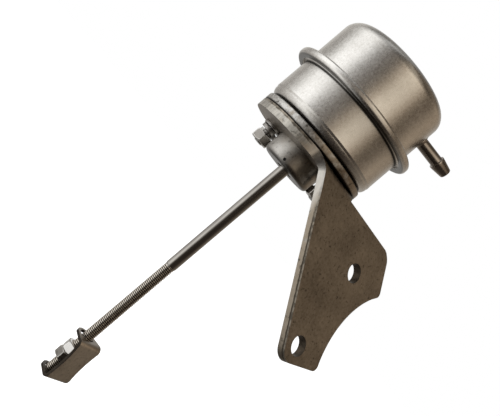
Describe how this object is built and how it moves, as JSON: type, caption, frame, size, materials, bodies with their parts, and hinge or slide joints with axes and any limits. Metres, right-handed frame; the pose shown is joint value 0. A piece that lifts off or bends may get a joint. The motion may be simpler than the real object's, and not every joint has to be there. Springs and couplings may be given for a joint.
{
  "type": "wastegate actuator",
  "caption": "Wastegate actuator: sealed diaphragm can with a hose nipple on a cranked bracket, and a sprung push rod whose threaded end carries a nut pair and a loose clip.",
  "frame": {"origin": "on the push rod's axis, in the clamp plane between the mounting plate and the bracket's flange", "axes": "+Z along the rod's axis towards the can's roof, +X horizontal across the bracket's bend towards its leg, +Y along the bend line"},
  "size_m": [0.109, 0.1089, 0.2322],
  "materials": {
    "stainless_shell": "satin drawn stainless steel",
    "diaphragm_rubber": "matt moulded rubber",
    "piston_metal": "pressed steel",
    "fastener_steel": "plain steel",
    "rod_steel": "ground stainless steel",
    "spring_steel": "oiled spring wire",
    "plate_steel": "machined steel, slightly rough",
    "bush_bronze": "sintered bronze",
    "seal_rubber": "matt rubber",
    "bracket_steel": "dull rolled stainless plate with sheared edges",
    "nipple_steel": "turned steel",
    "nut_steel": "bright steel"
  },
  "bodies": {
    "housing": {"upper_can": "stainless_shell", "lower_can": "stainless_shell", "diaphragm": "diaphragm_rubber", "return_spring": "spring_steel", "spring_seat": "piston_metal", "mounting_plate": "plate_steel", "rod_bush": "bush_bronze", "guide_cup": "plate_steel", "wiper_seal": "seal_rubber", "bracket": "bracket_steel", "studs": "fastener_steel", "flat_washers": "fastener_steel", "spring_washers": "fastener_steel", "stud_nuts": "fastener_steel", "hose_nipple": "nipple_steel"},
    "push_rod": {"rod": "rod_steel", "piston_cup": "piston_metal", "retainer_plate": "piston_metal", "head_washer": "fastener_steel"},
    "adjuster": {"adjusting_nut": "nut_steel"},
    "jam": {"jam_nut": "nut_steel"},
    "clip": {"rod_clip": "bracket_steel"}
  },
  "joints": [
    {"name": "rod_slide", "type": "slide", "parent": "housing", "child": "push_rod", "axis": [0, 0, -1], "range_m": [0, 0.012], "stiffness_N_per_m": 9700, "springref_m": -0.014, "deforming": ["return_spring", "diaphragm"]},
    {"name": "adjuster_turn", "type": "hinge", "parent": "push_rod", "child": "adjuster", "pos_m": [0, 0, -0.1544], "axis": [0, 0, 1], "continuous": true},
    {"name": "jam_turn", "type": "hinge", "parent": "push_rod", "child": "jam", "pos_m": [0, 0, -0.1595], "axis": [0, 0, 1], "continuous": true},
    {"name": "clip_slide", "type": "slide", "parent": "push_rod", "child": "clip", "axis": [0, 0, 1], "range_m": [-0.002, 0.0065]}
  ]
}
